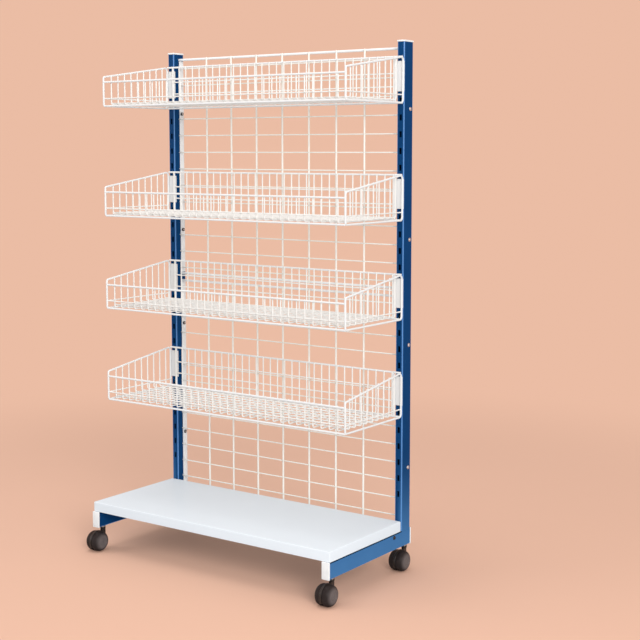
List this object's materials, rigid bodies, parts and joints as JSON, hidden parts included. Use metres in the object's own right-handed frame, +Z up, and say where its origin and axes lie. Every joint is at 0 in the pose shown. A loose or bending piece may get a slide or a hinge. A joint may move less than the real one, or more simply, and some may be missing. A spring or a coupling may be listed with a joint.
{
  "type": "basket shelving unit",
  "caption": "Free-standing shelving unit on castors: slotted posts on legs, a tray deck, wire mesh back and hook-on wire baskets that lift out of the posts.",
  "frame": {"origin": "on the floor, under the middle of the unit's box", "axes": "+Z up, -Y towards the front of the baskets, +X to the right seen from the front"},
  "size_m": [0.966, 0.473, 1.623],
  "materials": {
    "post_paint": "semi-gloss blue powder coat",
    "white_plastic": "satin white moulded plastic",
    "deck_paint": "semi-gloss pale grey powder coat",
    "wire_paint": "satin white powder coat",
    "zinc": "bright zinc plate",
    "dark_steel": "dark plated steel",
    "black_plastic": "black moulded plastic",
    "wheel_plastic": "dark brown-black moulded plastic, slightly glossy"
  },
  "bodies": {
    "frame": {"left_post": "post_paint", "right_post": "post_paint", "left_leg": "post_paint", "right_leg": "post_paint", "post_caps": "white_plastic", "leg_caps": "white_plastic", "deck": "deck_paint", "panel_bolts": "zinc", "deck_bolts": "dark_steel", "nuts": "dark_steel", "castor_sockets": "black_plastic", "upper_panel_rods": "wire_paint", "upper_panel_uprights": "wire_paint", "upper_panel_rows": "wire_paint", "upper_panel_side_bars": "wire_paint", "lower_panel_rods": "wire_paint", "lower_panel_uprights": "wire_paint", "lower_panel_rows": "wire_paint", "lower_panel_side_bars": "wire_paint"},
    "basket_1": {"basket_1_frame": "wire_paint", "basket_1_floor_wires": "wire_paint", "basket_1_front_wires": "wire_paint", "basket_1_back_wires": "wire_paint", "basket_1_side_wires": "wire_paint", "basket_1_hooks": "wire_paint"},
    "basket_2": {"basket_2_frame": "wire_paint", "basket_2_floor_wires": "wire_paint", "basket_2_front_wires": "wire_paint", "basket_2_back_wires": "wire_paint", "basket_2_side_wires": "wire_paint", "basket_2_hooks": "wire_paint"},
    "basket_3": {"basket_3_frame": "wire_paint", "basket_3_floor_wires": "wire_paint", "basket_3_front_wires": "wire_paint", "basket_3_back_wires": "wire_paint", "basket_3_side_wires": "wire_paint", "basket_3_hooks": "wire_paint"},
    "basket_4": {"basket_4_frame": "wire_paint", "basket_4_floor_wires": "wire_paint", "basket_4_front_wires": "wire_paint", "basket_4_back_wires": "wire_paint", "basket_4_side_wires": "wire_paint", "basket_4_hooks": "wire_paint"},
    "front_left_castor_swivel": {"front_left_castor_housing": "black_plastic", "front_left_castor_stem": "zinc", "front_left_castor_axle": "zinc"},
    "front_left_castor_wheel_pair": {"front_left_castor_wheels": "wheel_plastic"},
    "front_right_castor_swivel": {"front_right_castor_housing": "black_plastic", "front_right_castor_stem": "zinc", "front_right_castor_axle": "zinc"},
    "front_right_castor_wheel_pair": {"front_right_castor_wheels": "wheel_plastic"},
    "rear_left_castor_swivel": {"rear_left_castor_housing": "black_plastic", "rear_left_castor_stem": "zinc", "rear_left_castor_axle": "zinc"},
    "rear_left_castor_wheel_pair": {"rear_left_castor_wheels": "wheel_plastic"},
    "rear_right_castor_swivel": {"rear_right_castor_housing": "black_plastic", "rear_right_castor_stem": "zinc", "rear_right_castor_axle": "zinc"},
    "rear_right_castor_wheel_pair": {"rear_right_castor_wheels": "wheel_plastic"}
  },
  "joints": [
    {"name": "basket_1_lift", "type": "slide", "parent": "frame", "child": "basket_1", "axis": [0, 0, 1], "range_m": [0, 0.008]},
    {"name": "basket_2_lift", "type": "slide", "parent": "frame", "child": "basket_2", "axis": [0, 0, 1], "range_m": [0, 0.008]},
    {"name": "basket_3_lift", "type": "slide", "parent": "frame", "child": "basket_3", "axis": [0, 0, 1], "range_m": [0, 0.008]},
    {"name": "basket_4_lift", "type": "slide", "parent": "frame", "child": "basket_4", "axis": [0, 0, 1], "range_m": [0, 0.008]},
    {"name": "front_left_castor_turn", "type": "hinge", "parent": "frame", "child": "front_left_castor_swivel", "pos_m": [-0.456, -0.1765, 0.0765], "axis": [0, 0, 1], "continuous": true},
    {"name": "front_left_castor_roll", "type": "hinge", "parent": "front_left_castor_swivel", "child": "front_left_castor_wheel_pair", "pos_m": [-0.456, -0.2025, 0.032], "axis": [1, 0, 0], "continuous": true},
    {"name": "front_right_castor_turn", "type": "hinge", "parent": "frame", "child": "front_right_castor_swivel", "pos_m": [0.456, -0.1765, 0.0765], "axis": [0, 0, 1], "continuous": true},
    {"name": "front_right_castor_roll", "type": "hinge", "parent": "front_right_castor_swivel", "child": "front_right_castor_wheel_pair", "pos_m": [0.456, -0.2025, 0.032], "axis": [1, 0, 0], "continuous": true},
    {"name": "rear_left_castor_turn", "type": "hinge", "parent": "frame", "child": "rear_left_castor_swivel", "pos_m": [-0.456, 0.2175, 0.0765], "axis": [0, 0, 1], "continuous": true},
    {"name": "rear_left_castor_roll", "type": "hinge", "parent": "rear_left_castor_swivel", "child": "rear_left_castor_wheel_pair", "pos_m": [-0.456, 0.1915, 0.032], "axis": [1, 0, 0], "continuous": true},
    {"name": "rear_right_castor_turn", "type": "hinge", "parent": "frame", "child": "rear_right_castor_swivel", "pos_m": [0.456, 0.2175, 0.0765], "axis": [0, 0, 1], "continuous": true},
    {"name": "rear_right_castor_roll", "type": "hinge", "parent": "rear_right_castor_swivel", "child": "rear_right_castor_wheel_pair", "pos_m": [0.456, 0.1915, 0.032], "axis": [1, 0, 0], "continuous": true}
  ]
}
